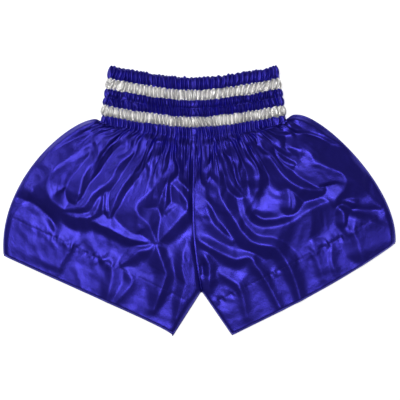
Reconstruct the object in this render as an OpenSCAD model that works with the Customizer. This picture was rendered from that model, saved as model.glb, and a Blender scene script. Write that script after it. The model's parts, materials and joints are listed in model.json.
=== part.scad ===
// Elastic-waist boxing shorts, laid flat with the front facing up.
// X runs across the garment, +Y towards the waist and +Z up from the surface it lies on.
// Left and right are the wearer's, so the left leg lies at +X.
// Each leg is hinged along its groin line, where the cloth panels are split into a hip and a leg part.

/* [Waistband] */
// Relaxed flat width at the top edge
waist_top_w = 294; // [270:2:300]
// Relaxed flat width at the waist seam
waist_seam_w = 324; // [305:1:335]
// How far the middle of the waistband hangs below its two ends
waist_dip = 21; // [14:1:30]
// Outside thickness of the waistband as it lies
waist_thick = 24; // [20:0.5:28]
// Height of the top elastic channel
top_channel_h = 20.5; // [18:0.5:24]
// Height of a channel that carries a ribbon
ribbon_channel_h = 17.5; // [15:0.5:19]
// Height of a plain channel between or below the ribbons
plain_channel_h = 14.5; // [11:0.5:15]

/* [Body and legs] */
// Centre seam from the waist seam down to the crotch
front_rise = 272; // [255:1:290]
// Flat width of a leg opening along its hem
leg_open_w = 328.5; // [300:0.5:340]
// Inseam from the crotch to the hem
inseam = 94; // [75:1:100]
// Depth of the turned-up hem facing
hem_depth = 66; // [50:1:70]
// Width of the flat-felled centre seams
felled_w = 8; // [6:0.5:10]

/* [Cloth] */
// Thickness given to one layer of crumpled satin
cloth_t = 1.2; // [1:0.1:1.5]
// Thickness of an elastic strip
elastic_t = 1.2; // [0.8:0.1:1.5]
// Thickness of the sewing thread
thread_t = 0.35; // [0.25:0.05:0.5]

/* [Hidden] */

RIGHT = -1;            // the wearer's right leg, at -X
LEFT = 1;              // the wearer's left leg, at +X
gap = 0.05;            // between pieces that lie face to face
hinge_gap = 0.6;       // between a hip part and its leg part
satin = [0.14, 0.11, 0.62];
satin_inside = [0.11, 0.09, 0.5];
silver = [0.78, 0.77, 0.72];
elastic_white = [0.92, 0.92, 0.9];

// ---- waistband plan ----
channel_h = [top_channel_h, ribbon_channel_h, plain_channel_h,
             plain_channel_h, ribbon_channel_h, plain_channel_h];
// Distance of channel boundary n below the top edge
function channel_top(n) = n == 0 ? 0 : channel_top(n - 1) + channel_h[n - 1];
band_h = channel_top(6);
waist_shift = -12;     // the waistband lies a little to the right leg's side
seam_y = 0;            // centre of the waist seam, before the plan is centred
top_y = seam_y + band_h;
waist_lift = 3;        // underside of the waistband above the surface
ribbon_t = 0.6;
lining_t = 0.8;
row_margin = 0.8;      // from a stitch row to the ribbon or strip beside it
thread_w = 0.8;

function half_w(y) = (waist_seam_w + (waist_top_w - waist_seam_w) * (y - seam_y) / band_h) / 2;
// A point on a line across the waistband: s runs from -1 at the right end to 1 at the left end
function band_point(y, s, inset) = [
  waist_shift + s * (half_w(y) - inset),
  y + waist_dip * pow(abs(s), 1.4)
];
BAND_STEP = 1 / 12;
function band_outline(y_hi, y_lo, inset) = concat(
  [for (s = [-1 : BAND_STEP : 1 + BAND_STEP / 2]) band_point(y_hi, min(s, 1), inset)],
  [for (s = [1 : -BAND_STEP : -1 - BAND_STEP / 2]) band_point(y_lo, max(s, -1), inset)]
);

// A flattened tube around the waist: skin_in is how far its outside lies inside the casing's
module band_tube(y_hi, y_lo, skin_in, wall) {
  z_lo = waist_lift + skin_in;
  z_hi = waist_lift + waist_thick - skin_in;
  difference() {
    translate([0, 0, z_lo])
      linear_extrude(z_hi - z_lo) polygon(band_outline(y_hi, y_lo, skin_in));
    translate([0, 0, z_lo + wall])
      linear_extrude(z_hi - z_lo - 2 * wall)
        polygon(band_outline(y_hi + 1, y_lo - 1, skin_in + wall));
  }
}

module waistband_casing() color(satin) band_tube(top_y, seam_y, 0, cloth_t);

module waistband_lining()
  color(satin_inside)
    band_tube(top_y, seam_y, cloth_t + elastic_t + 2 * gap, lining_t);

module elastic_strip(n)
  color(elastic_white)
    band_tube(top_y - channel_top(n - 1) - row_margin, top_y - channel_top(n) + row_margin,
              cloth_t + gap, elastic_t);

// The ribbons are sewn over channels 2 and 5
module silver_ribbon(n)
  color(silver)
    band_tube(top_y - channel_top(n - 1) - row_margin, top_y - channel_top(n) + row_margin,
              -ribbon_t - gap, ribbon_t);

module waistband_stitching()
  color(satin)
    for (n = [1 : 6])
      let (y = top_y - channel_top(n) + (n == 6 ? thread_w : 0))
        band_tube(y + thread_w / 2, y - thread_w / 2, -thread_t - gap, thread_t);

// ---- body plan ----
centre_top = [waist_shift, seam_y - 0.3];
crotch = [2, seam_y - front_rise];
function pick(side, right, left) = side == RIGHT ? right : left;
// The right hem rises at about 25 degrees as it lies, the left one at 29
function hem_inner(side) =
  let (splay = pick(side, 32.5, 34.5)) crotch + inseam * [side * sin(splay), -cos(splay)];
function hem_outer(side) =
  let (rise = pick(side, 25.5, 29.1)) hem_inner(side) + leg_open_w * [side * cos(rise), sin(rise)];
function waist_end(side) = band_point(seam_y, side, 0) - [0, 0.3];

function mix(a, b, t) = a + (b - a) * t;
function bezier(p, t) =
  pow(1 - t, 3) * p[0] + 3 * t * pow(1 - t, 2) * p[1] + 3 * t * t * (1 - t) * p[2] + pow(t, 3) * p[3];
// The side seam swells out from the waist and drops almost straight to the hem
function side_curve(side, t) =
  let (top = waist_end(side), low = hem_outer(side),
       leave = pick(side, [-60, 13], [60, 13]), arrive = pick(side, [-12, 125], [5, 98]))
    bezier([top, top + leave, low + arrive, low], t);

// The groin line that each leg folds along
GROIN_ON_INSEAM = 0.36;
GROIN_ON_SIDE = 0.60;
function groin_in(side) = mix(crotch, hem_inner(side), GROIN_ON_INSEAM);
function groin_out(side) = side_curve(side, GROIN_ON_SIDE);
function groin_normal(side) =
  let (d = groin_out(side) - groin_in(side), n = [d[1], -d[0]] / norm(d))
    n * (n[1] > 0 ? -1 : 1);
function groin_shift(side, v, edge) =
  v == edge ? groin_normal(side) * (edge == 0 ? 1 : -1) * hinge_gap / 2 : [0, 0];

// ---- heights of the front layer ----
Z_CENTRE_TOP = 23;
Z_CENTRE_LOW = 12;
Z_SIDE_TOP = 14;
Z_SIDE_GROIN = 9;
Z_CORNER = 7;
CROWN_WAIST = 7;
CROWN_GROIN = 18;
CROWN_HEM = 13;
function arch(u) = pow(sin(180 * min(max(u, 0), 1)), 0.75);

// Hip part: v runs from the waist seam to the groin line, u from the centre seam to the side.
// The last part of the inner edge turns from the crotch down the inseam.
CROTCH_V = 0.88;
function hip_inner(side, v) =
  (v < CROTCH_V ? mix(centre_top, crotch, v / CROTCH_V)
                : mix(crotch, groin_in(side), (v - CROTCH_V) / (1 - CROTCH_V)))
  + [side * (felled_w / 2 + 0.2) * (v < CROTCH_V ? 1 : (1 - v) / (1 - CROTCH_V)), 0];
function hip_plan(side, u, v) =
  mix(hip_inner(side, v), side_curve(side, v * GROIN_ON_SIDE), u)
  + [0, v == 0 ? (pow(u, 1.4) - u) * waist_dip : 0]
  + groin_shift(side, v, 1);
function hip_z(u, v) =
  mix(mix(Z_CENTRE_TOP, Z_CENTRE_LOW, v), mix(Z_SIDE_TOP, Z_SIDE_GROIN, v), u)
  + mix(CROWN_WAIST, CROWN_GROIN, v) * arch(u);

// Leg part: v runs from the groin line to the hem, u from the inseam to the side
function leg_plan(side, u, v) =
  mix(mix(groin_in(side), hem_inner(side), v),
      side_curve(side, mix(GROIN_ON_SIDE, 1, v)), u)
  + groin_shift(side, v, 0);
function leg_z(u, v) =
  mix(mix(Z_CENTRE_LOW, Z_CORNER, v), mix(Z_SIDE_GROIN, Z_CORNER, v), u)
  + mix(CROWN_GROIN, CROWN_HEM, v) * arch(u);

// ---- thin closed solids ----
function quad(a, b, c, d) = [[a, b, c], [a, c, d]];
function flipped(faces) = [for (f = faces) [f[2], f[1], f[0]]];
// Faces of a shell whose upper and lower points are grids of (nu + 1) by (nv + 1)
function shell_faces(nu, nv) =
  let (
    w = nu + 1,
    n = w * (nv + 1),
    top = [for (j = [0 : nv - 1], i = [0 : nu - 1])
             let (a = j * w + i) each quad(a, a + 1, a + w + 1, a + w)],
    bottom = [for (f = flipped(top)) [f[0] + n, f[1] + n, f[2] + n]],
    first_row = [for (i = [0 : nu - 1]) each quad(i + 1, i, i + n, i + 1 + n)],
    last_row = [for (i = [0 : nu - 1])
                  let (a = nv * w + i) each quad(a, a + 1, a + 1 + n, a + n)],
    first_col = [for (j = [0 : nv - 1])
                   let (a = j * w) each quad(a, a + w, a + w + n, a + n)],
    last_col = [for (j = [0 : nv - 1])
                  let (a = j * w + nu) each quad(a + w, a, a + n, a + w + n)]
  ) concat(top, bottom, first_row, last_row, first_col, last_col);

module shell(upper, lower, nu, nv, side) {
  faces = shell_faces(nu, nv);
  polyhedron(concat(upper, lower), side == LEFT ? faces : flipped(faces), convexity = 6);
}

function raise(p, z) = [p[0], p[1], z];

// An upright strip along a plan path, from z_lo to the height that tops gives at each point
module strip(path, width, z_lo, tops) {
  n = len(path) - 1;
  function across(i) =
    let (d = path[min(i + 1, n)] - path[max(i - 1, 0)]) [-d[1], d[0]] / norm(d) * width / 2;
  upper = [for (i = [0 : n], k = [-1, 1]) raise(path[i] - k * across(i), tops[i])];
  lower = [for (i = [0 : n], k = [-1, 1]) raise(path[i] - k * across(i), z_lo[i])];
  shell(upper, lower, 1, n, flat_turn(path, across(0)));
}
// Which way round a strip's grid runs, so that its faces point outwards
function flat_turn(path, across) =
  let (d = path[1] - path[0]) d[0] * across[1] - d[1] * across[0] > 0 ? RIGHT : LEFT;

GRID_U = 16;
HIP_V = 14;
LEG_V = 10;

module front_panel_hip(side)
  color(satin)
    let (grid = [for (j = [0 : HIP_V], i = [0 : GRID_U])
                   raise(hip_plan(side, i / GRID_U, j / HIP_V), hip_z(i / GRID_U, j / HIP_V))])
      shell(grid, [for (p = grid) p - [0, 0, cloth_t]], GRID_U, HIP_V, side);

module front_panel_leg(side)
  color(satin)
    let (grid = [for (j = [0 : LEG_V], i = [0 : GRID_U])
                   raise(leg_plan(side, i / GRID_U, j / LEG_V), leg_z(i / GRID_U, j / LEG_V))])
      shell(grid, [for (p = grid) p - [0, 0, cloth_t]], GRID_U, LEG_V, side);

// The back layer lies flat on the surface below
module back_panel_hip(side)
  color(satin)
    linear_extrude(cloth_t)
      polygon(concat(
        [for (i = [0 : GRID_U]) hip_plan(side, i / GRID_U, 0)],
        [for (j = [1 : HIP_V]) hip_plan(side, 1, j / HIP_V)],
        [for (j = [HIP_V : -1 : 1]) hip_plan(side, 0, j / HIP_V)]
      ));

module back_panel_leg(side)
  color(satin)
    linear_extrude(cloth_t)
      polygon(concat(
        [for (j = [0 : LEG_V]) leg_plan(side, 1, j / LEG_V)],
        [for (j = [LEG_V : -1 : 0]) leg_plan(side, 0, j / LEG_V)]
      ));

// ---- hem facings ----
FACING_IN = 0.02;      // keeps a facing clear of the side seam and the inseam
FACING_V_IN = 0.04;    // on the inseam it ends just short of the groin line
FACING_V = 6;
FACING_DROP = 0.9;     // the facing hangs this far under the front layer
function facing_v_out(side) =
  1 - hem_depth / norm(side_curve(side, GROIN_ON_SIDE) - hem_outer(side));
function facing_uv(side, i, j) =
  let (u = mix(FACING_IN, 1 - FACING_IN, i / GRID_U))
    [u, mix(mix(FACING_V_IN, facing_v_out(side), u), 1, j / FACING_V)];

module front_hem_facing(side)
  color(satin_inside)
    let (grid = [for (j = [0 : FACING_V], i = [0 : GRID_U])
                   let (q = facing_uv(side, i, j))
                     raise(leg_plan(side, q[0], q[1]), leg_z(q[0], q[1]) - cloth_t - FACING_DROP)])
      shell(grid, [for (p = grid) p - [0, 0, lining_t]], GRID_U, FACING_V, side);

module back_hem_facing(side)
  color(satin_inside)
    translate([0, 0, cloth_t + gap])
      linear_extrude(lining_t)
        polygon([
          for (corner = [[0, 0], [GRID_U, 0], [GRID_U, FACING_V / 2],
                         [GRID_U, FACING_V], [0, FACING_V]])
            let (q = facing_uv(side, corner[0], corner[1])) leg_plan(side, q[0], q[1])
        ]);

// ---- seams ----
SEAM_W = 5;
SEAM_STEPS = 8;
SEAM_DROP = 0.5;       // from the front layer down to a seam allowance
function seam_heights(path_z) = [for (z = path_z) z - cloth_t - SEAM_DROP];
function plan_inset(side, inwards, p) = p + [-side * inwards, 0];

module side_seam_hip(side)
  color(satin_inside)
    let (ts = [for (i = [0 : SEAM_STEPS]) mix(0.07, 0.985, i / SEAM_STEPS)])
      strip([for (t = ts) plan_inset(side, SEAM_W * 0.7, side_curve(side, t * GROIN_ON_SIDE))],
            SEAM_W, [for (t = ts) cloth_t + gap],
            seam_heights([for (t = ts) hip_z(1, t)]));

module side_seam_leg(side)
  color(satin_inside)
    let (ts = [for (i = [0 : SEAM_STEPS]) mix(0.03, 0.99, i / SEAM_STEPS)])
      strip([for (t = ts)
               plan_inset(side, SEAM_W * 0.7, side_curve(side, mix(GROIN_ON_SIDE, 1, t)))],
            SEAM_W, [for (t = ts) cloth_t + gap],
            seam_heights([for (t = ts) leg_z(1, t)]));

module leg_inseam(side)
  color(satin_inside)
    let (ts = [0.08, 0.5, 0.97])
      strip([for (t = ts)
               mix(groin_in(side), hem_inner(side), t) + [side * SEAM_W * 0.75, 0]],
            SEAM_W, [for (t = ts) cloth_t + gap],
            seam_heights([for (t = ts) leg_z(0, t)]));

// The gusset closes the crotch between the front and the back, and runs a little way down each inseam
module crotch_gusset()
  color(satin)
    let (a = groin_in(RIGHT) + [0.8, 1.2], b = groin_in(LEFT) + [-0.8, 1.2])
      translate([0, 0, cloth_t + gap])
        linear_extrude(Z_CENTRE_LOW - 2 * cloth_t - 2 * gap)
          polygon([a + [-SEAM_W, 0], crotch + [-SEAM_W, 6], crotch + [SEAM_W, 6],
                   b + [SEAM_W, 0], b, crotch + [0, -3], a]);

SEAM_LOW = 0.985;      // the centre seams end just above the crotch
function centre_at(t) = mix(centre_top, crotch, t);
module centre_strip(offset, width, z_lo, z_hi, low = SEAM_LOW)
  let (ts = [for (i = [0 : SEAM_STEPS]) low * i / SEAM_STEPS])
    strip([for (t = ts) centre_at(t) + [offset, 0]], width,
          [for (t = ts) z_lo + front_z(t)], [for (t = ts) z_hi + front_z(t)]);
function front_z(t) = hip_z(0, t * CROTCH_V);

module front_centre_seam() color(satin) centre_strip(0, felled_w, -cloth_t, 0);

module back_centre_seam()
  color(satin) linear_extrude(cloth_t) flat_centre_strip(felled_w, SEAM_LOW);

// Two rows of thread hold each felled seam down
STITCH_LOW = 0.95;     // they end above the gusset
module flat_centre_strip(width, low)
  polygon([centre_at(0) - [width / 2, 0], centre_at(0) + [width / 2, 0],
           centre_at(low) + [width / 2, 0], centre_at(low) - [width / 2, 0]]);

module centre_seam_stitching()
  color(satin)
    for (k = [-1, 1]) {
      centre_strip(k * felled_w * 0.32, thread_w, gap, gap + thread_t, STITCH_LOW);
      translate([k * felled_w * 0.32, 0, cloth_t + gap])
        linear_extrude(thread_t) flat_centre_strip(thread_w, STITCH_LOW);
    }

// The row that holds the facing runs over the front layer and inside the back one
module hem_stitching(side)
  color(satin)
    let (us = [for (i = [1 : GRID_U - 1]) i],
         row = [for (i = us) facing_uv(side, i, 0.25)],
         path = [for (q = row) leg_plan(side, q[0], q[1])]) {
      strip(path, thread_w, [for (q = row) leg_z(q[0], q[1]) + 0.15],
            [for (q = row) leg_z(q[0], q[1]) + 0.15 + thread_t]);
      strip([path[0], path[len(path) - 1]], thread_w,
            [for (k = [0, 1]) cloth_t + lining_t + 2 * gap],
            [for (k = [0, 1]) cloth_t + lining_t + 2 * gap + thread_t]);
    }

// ---- placing ----
// The origin is the middle of the garment's box, on the surface it lies on
function side_reach(side) = max([for (t = [0 : 0.01 : 1]) side * side_curve(side, t)[0]]);
x_lo = -side_reach(RIGHT);
x_hi = side_reach(LEFT);
y_lo = min(hem_inner(RIGHT)[1], hem_inner(LEFT)[1]);
y_hi = top_y + waist_dip;
module placed() translate([-(x_lo + x_hi) / 2, -(y_lo + y_hi) / 2, 0]) children();

placed() waistband_casing();
placed() waistband_lining();
for (n = [1 : 6])
  placed() elastic_strip(n);
placed() silver_ribbon(2);  // silver_ribbon_upper
placed() silver_ribbon(5);  // silver_ribbon_lower
placed() waistband_stitching();
placed() front_centre_seam();
placed() back_centre_seam();
placed() centre_seam_stitching();
placed() crotch_gusset();
for (side = [RIGHT, LEFT], name = [pick(side, "right_", "left_")]) {
  placed() front_panel_hip(side);
  placed() back_panel_hip(side);
  placed() side_seam_hip(side);
  placed() front_panel_leg(side);
  placed() back_panel_leg(side);
  placed() front_hem_facing(side);
  placed() back_hem_facing(side);
  placed() side_seam_leg(side);
  placed() leg_inseam(side);
  placed() hem_stitching(side);
}
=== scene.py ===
import json
import math
from collections import namedtuple

import bpy
import numpy as np
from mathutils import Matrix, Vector


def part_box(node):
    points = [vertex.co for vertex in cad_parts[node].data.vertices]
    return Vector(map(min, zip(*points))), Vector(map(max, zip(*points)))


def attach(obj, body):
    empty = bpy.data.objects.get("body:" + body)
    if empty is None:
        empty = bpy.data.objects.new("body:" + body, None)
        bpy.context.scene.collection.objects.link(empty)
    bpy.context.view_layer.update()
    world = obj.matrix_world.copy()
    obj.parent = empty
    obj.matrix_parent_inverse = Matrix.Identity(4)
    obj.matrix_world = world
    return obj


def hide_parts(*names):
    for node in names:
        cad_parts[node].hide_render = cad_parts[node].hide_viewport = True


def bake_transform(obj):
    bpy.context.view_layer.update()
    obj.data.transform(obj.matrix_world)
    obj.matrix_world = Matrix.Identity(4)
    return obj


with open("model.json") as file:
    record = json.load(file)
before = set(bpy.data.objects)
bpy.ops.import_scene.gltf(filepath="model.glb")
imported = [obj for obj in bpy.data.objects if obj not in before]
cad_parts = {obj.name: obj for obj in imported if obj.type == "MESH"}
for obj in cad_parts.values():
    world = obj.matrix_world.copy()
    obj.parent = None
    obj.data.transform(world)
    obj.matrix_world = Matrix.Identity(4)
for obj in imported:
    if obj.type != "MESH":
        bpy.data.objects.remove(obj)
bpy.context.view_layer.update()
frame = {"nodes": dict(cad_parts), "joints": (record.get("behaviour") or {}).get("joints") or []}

# Satin boxing shorts, laid flat with the front up. Lengths are metres; +Y is towards the waist.
# Sides are the wearer's: the right leg lies at -X and the left leg at +X.
MM = 0.001
RIGHT, LEFT = -1, 1
SIDE_NAME = {RIGHT: "right", LEFT: "left"}
HIPS = "hips"

# ---- shared small tools


def lerp(a, b, t):
    """From a at t = 0 to b at t = 1, in a straight line."""
    return a + (b - a) * t


def smooth(low, high, x):
    """0 below low, 1 above high, with a smooth rise between them."""
    t = np.clip((x - low) / (high - low), 0, 1)
    return t * t * (3 - 2 * t)


def cubic(a, b, c, d, t):
    """From b at t = 0 to c at t = 1 on a smooth curve that comes from a and goes on to d."""
    return b + 0.5 * t * (c - a + t * (2 * a - 5 * b + 4 * c - d + t * (3 * (b - c) + d - a)))


def bump(x, centre, width):
    """A smooth hump, 1 at the centre, that has nearly gone two widths away from it."""
    return np.exp(-(((x - centre) / width) ** 2))


def soft_noise(x, y, seed, size=64):
    """Smooth noise from -1 to 1 that repeats every size cells; x and y count its cells."""
    lattice = np.random.default_rng(seed).uniform(-1, 1, (size, size))
    x0, y0 = np.floor(x).astype(int), np.floor(y).astype(int)
    fx, fy = x - x0, y - y0
    fx, fy = fx * fx * (3 - 2 * fx), fy * fy * (3 - 2 * fy)
    x1, y1 = (x0 + 1) % size, (y0 + 1) % size
    x0, y0 = x0 % size, y0 % size
    near = lerp(lattice[x0, y0], lattice[x1, y0], fx)
    far = lerp(lattice[x0, y1], lattice[x1, y1], fx)
    return lerp(near, far, fy)


def wrinkle(x, y, seed, crest=0.08):
    """Wandering ridges with narrow crests, from about -1 in the hollows to 0 on the crests."""
    return crest - np.sqrt(soft_noise(x, y, seed) ** 2 + crest ** 2)


def points_of(node):
    """The corner points of a CAD node."""
    return np.array([v.co for v in frame["nodes"][node].data.vertices], float)


def furthest(node, direction):
    """The plan point of a CAD node that lies furthest along a plan direction."""
    corners = points_of(node)[:, :2]
    return corners[np.argmax(corners @ np.array(direction, float))]


# ---- the garment's plan, from the frame
# Plan directions in which a corner of the garment is the furthest point of its node
TO_BAND_CORNER = (0.3, 1)
TO_HEM_INNER = (0.1, -1)
TO_HEM_OUTER = (1, -0.6)

band_low, band_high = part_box("waistband_casing")
BAND_X = (band_low.x + band_high.x) / 2
SEAM_HALF = (band_high.x - band_low.x) / 2
TOP_HALF = furthest("waistband_casing", TO_BAND_CORNER)[0] - BAND_X
DIP = 21 * MM  # how far the waist's middle hangs below its ends
SEAM_Y = band_low.y  # middle of the waist seam
BAND_H = band_high.y - DIP - SEAM_Y

seam_ends = points_of("back_centre_seam")[:, :2]
CENTRE_TOP = seam_ends[seam_ends[:, 1] > seam_ends[:, 1].max() - MM].mean(0)
SEAM_SHARE = 0.985  # the CAD seam stops just short of the crotch
centre_low = seam_ends[seam_ends[:, 1] < seam_ends[:, 1].min() + MM].mean(0)
CROTCH = CENTRE_TOP + (centre_low - CENTRE_TOP) / SEAM_SHARE


def hem_corner(side, direction):
    """The hem corner of a leg that lies furthest in a direction, which is given for the left leg."""
    return furthest(f"{SIDE_NAME[side]}_back_panel_leg", (side * direction[0], direction[1]))


HEM_IN = {side: hem_corner(side, TO_HEM_INNER) for side in (RIGHT, LEFT)}
HEM_OUT = {side: hem_corner(side, TO_HEM_OUTER) for side in (RIGHT, LEFT)}
WAIST_END = {s: np.array([BAND_X + s * SEAM_HALF, SEAM_Y + DIP]) for s in (RIGHT, LEFT)}
# How the side seam leaves the waist and arrives at the hem
SIDE_LEAVE = {RIGHT: np.array([-60, 13]) * MM, LEFT: np.array([60, 13]) * MM}
SIDE_ARRIVE = {RIGHT: np.array([-12, 125]) * MM, LEFT: np.array([5, 98]) * MM}
# The cloth puffs up beside the waistband: how far, and how far down the side that is
SHOULDER = {RIGHT: (7 * MM, 0.08), LEFT: (17 * MM, 0.15)}
HEM_DEPTH = 66 * MM
HEM_WIDTH = 328.5 * MM

RISE = np.linalg.norm(CROTCH - CENTRE_TOP)
INSEAM = np.linalg.norm(HEM_IN[RIGHT] - CROTCH)
CROTCH_V = RISE / (RISE + INSEAM)  # share of the inner edge that is centre seam
SEAM_BOW = -8 * MM  # the laid centre seam bows towards the right leg


def dip_rise(share):
    """How far the hanging waist rises from its middle (0) to its end (1), as a share of the dip."""
    blunt, power = 0.03, 0.72
    return ((share ** 2 + blunt) ** power - blunt ** power) / ((1 + blunt) ** power - blunt ** power)


def shoulder(side, v):
    """How far the cloth puffs up at a place down the side seam."""
    height, place = SHOULDER[side]
    return height * (v / place * np.exp(1 - v / place)) ** 0.6


def side_line(side, v):
    """Plan points down the side seam; v is 0 at the waist and 1 at the hem."""
    a, d = WAIST_END[side], HEM_OUT[side]
    b, c = a + SIDE_LEAVE[side], d + SIDE_ARRIVE[side]
    v = np.asarray(v, float)[..., None]
    line = (1 - v) ** 3 * a + 3 * v * (1 - v) ** 2 * b + 3 * v * v * (1 - v) * c + v ** 3 * d
    line[..., 1] += shoulder(side, v[..., 0])
    return line


def inner_line(side, v):
    """Plan points down the centre seam to the crotch, then down the inseam."""
    v = np.asarray(v, float)
    down = np.clip(v / CROTCH_V, 0, 1)
    out = np.clip((v - CROTCH_V) / (1 - CROTCH_V), 0, 1)
    seam = lerp(CENTRE_TOP, CROTCH, down[..., None])
    seam[..., 0] += SEAM_BOW * np.sin(math.pi * down ** 1.3)
    return lerp(seam, HEM_IN[side], out[..., None])


def panel_width(side, v):
    """From the inner edge to the side seam, at each v."""
    return np.linalg.norm(side_line(side, v) - inner_line(side, v), axis=-1)


# How far the laid hem bows in from a straight line, and a power that moves the deepest place
HEM_HOLLOW = {RIGHT: (6 * MM, 0.35), LEFT: (-7.5 * MM, 1.15)}


def plan(side, u, v):
    """Plan points of a body panel: u is 0 at the centre and 1 at the side seam."""
    u, v = np.broadcast_arrays(np.asarray(u, float), np.asarray(v, float))
    p = lerp(inner_line(side, v), side_line(side, v), u[..., None])
    p[..., 1] += DIP * (dip_rise(u) - u) * (1 - v) ** 2
    p[..., 1] -= shoulder(side, v) * (u - u ** 8)
    hollow, power = HEM_HOLLOW[side]
    p[..., 1] += hollow * np.sin(math.pi * u ** power) * v ** 4
    return p


def unit_grid(rows, columns):
    """The u and v of an even grid over a whole panel."""
    return np.meshgrid(np.linspace(0, 1, columns), np.linspace(0, 1, rows))


def hem_line_v(u):
    """Where the hem's stitch row runs, as v at each u."""
    length = lerp(INSEAM / (1 - CROTCH_V), RISE + INSEAM * 0.75, u)  # from v = 0 to v = 1
    return 1 - HEM_DEPTH / length


# ---- meshes


def cloth_uv(points):
    """Cloth coordinates in metres for a grid of points, for the weave."""
    step_u = np.linalg.norm(np.diff(points, axis=1), axis=-1).mean()
    step_v = np.linalg.norm(np.diff(points, axis=0), axis=-1).mean()
    rows, columns = points.shape[:2]
    across, down = np.meshgrid(np.arange(columns) * step_u, np.arange(rows) * step_v)
    return np.stack([across, down], -1)


def grid_mesh(name, points, closed_round=False, uv=None):
    """A quad mesh from rows of points. closed_round joins the last column to the first."""
    rows, columns = points.shape[:2]
    index = np.arange(rows * columns).reshape(rows, columns)
    right = np.roll(index, -1, 1) if closed_round else index[:, 1:]
    left = index if closed_round else index[:, :-1]
    quads = np.stack([left[:-1], right[:-1], right[1:], left[1:]], -1).reshape(-1, 4)
    mesh = bpy.data.meshes.new(name)
    mesh.from_pydata(points.reshape(-1, 3).tolist(), [], quads.tolist())
    layer = mesh.uv_layers.new(name="cloth")
    corners = np.array([loop.vertex_index for loop in mesh.loops])
    uv = cloth_uv(points) if uv is None else uv
    layer.data.foreach_set("uv", uv.reshape(-1, 2)[corners].astype(np.float32).ravel())
    mesh.shade_smooth()
    piece = bpy.data.objects.new(name, mesh)
    bpy.context.scene.collection.objects.link(piece)
    return piece


def dress(piece, material, slot, *nodes):
    """Gives a piece its material and hides the CAD nodes that it stands for; slot is not used."""
    piece.data.materials.append(material)
    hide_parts(*nodes)


def thicken(piece, thickness, offset=-1.0):
    """Gives a sheet its thickness: all of it inwards, or half to each side when offset is 0."""
    solid = piece.modifiers.new("cloth thickness", "SOLIDIFY")
    solid.thickness = thickness
    solid.offset = offset


# ---- waistband
CHANNELS = [20.5, 17.5, 14.5, 14.5, 17.5, 14.5]  # heights of the six channels from the top, in mm
ROW_EDGES = np.cumsum([0] + CHANNELS) / sum(CHANNELS)
ROW_MIDDLES = (ROW_EDGES[1:] + ROW_EDGES[:-1]) / 2
PLEATS = [84, 76, 86, 90, 92, 92]  # gathers once round the waist, in each channel
PLEAT_ROUND = [0.6, 1, 0.5, 0.5, 1, 0.5]  # how blunt the crests are in each channel
PLEAT_DEPTH = [4.4, 7.6, 5.4, 5.4, 7.6, 5]  # in each channel, in mm
BAND_Z = 13.5 * MM  # height of the band's middle above the floor
BAND_HALF_THICK = 8.5 * MM
PUFF = 2.4 * MM  # how far a channel swells between its stitch rows
CLUMP = 0.9 * MM  # how far bunched gathers stand out
SCALLOP = 2.2 * MM  # how ragged the gathers leave the band's top edge
SWAY = 1.1 * MM  # how far the stitch rows wander
HEADING = 9 * MM  # how far down the ragged top edge is felt
RAGGED = 2.2 * MM  # how ragged the ribbons' edges are
AROUND = 1560  # steps round the band
LINING_DROP = 3 * MM  # from the casing in to the lining
PLAIN_HALF = 5 * MM  # half width of the smooth strip over the centre seam
RIBBON_CHANNELS = {"silver_ribbon_upper": 2, "silver_ribbon_lower": 5}
ROUND_BAND = 4 * SEAM_HALF  # once round the relaxed band


def band_frame(s, t):
    """Point and outward normal on the smooth band: s runs once round it, t from its top edge down."""
    half = lerp(TOP_HALF, SEAM_HALF, t)
    r = BAND_HALF_THICK
    straight = 2 * (half - r)
    loop = 2 * straight + 2 * math.pi * r
    d = (s % 1.0) * loop
    turn1 = np.clip((d - straight) / (math.pi * r), 0, 1) * math.pi
    turn2 = np.clip((d - 2 * straight - math.pi * r) / (math.pi * r), 0, 1) * math.pi
    angle = turn1 + turn2
    on_front = np.clip(d, 0, straight)
    on_back = np.clip(d - straight - math.pi * r, 0, straight)
    x = -straight / 2 + on_front - on_back + r * np.sin(angle)
    z = r * np.cos(angle)
    y = SEAM_Y + BAND_H * (1 - t) + DIP * dip_rise(x / half)
    point = np.stack([BAND_X + x, y, BAND_Z + z], -1)
    normal = np.stack([np.sin(angle), 0 * angle, np.cos(angle)], -1)
    return point, normal


def ridges(phase, roundness):
    """A row of round-topped ridges one phase apart, from 0 in a valley to 1 on a crest."""
    away = np.abs((phase % 1.0) * 2 - 1)
    low = math.sqrt(1 + roundness ** 2) - roundness
    return 1 - (np.sqrt(away ** 2 + roundness ** 2) - roundness) / low


def row_of(t):
    """Which channel t lies in, from 0 at the top."""
    return np.clip(np.searchsorted(ROW_EDGES, t, side="right") - 1, 0, len(CHANNELS) - 1)


def pleat_wave(s, t):
    """Height of the gathers from 0 in a valley to 1 on a crest; each channel gathers on its own."""
    drift = 1.2 * soft_noise(s * 12, t * 2, 12) + 0.12 * soft_noise(s * 64, t * 12, 17)
    wave = np.zeros_like(s * t)
    change = 0.02  # half the share of the band over which a row gives way to the next
    for row, (low, high) in enumerate(zip(ROW_EDGES[:-1], ROW_EDGES[1:])):
        rise = 1 if row == 0 else smooth(low - change, low + change, t)
        fall = 0 if row == len(CHANNELS) - 1 else smooth(high - change, high + change, t)
        own_drift = 0.28 * soft_noise(s * 64, 0 * s + 3.0 * row, 11)
        wave += (rise - fall) * ridges(PLEATS[row] * s + drift + own_drift, PLEAT_ROUND[row])
    return wave


def clump(s, t):
    """From -1 to 1: where several gathers bunch up together."""
    return soft_noise(s * 64, 1.7 * row_of(t) + 0 * s, 14)


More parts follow.
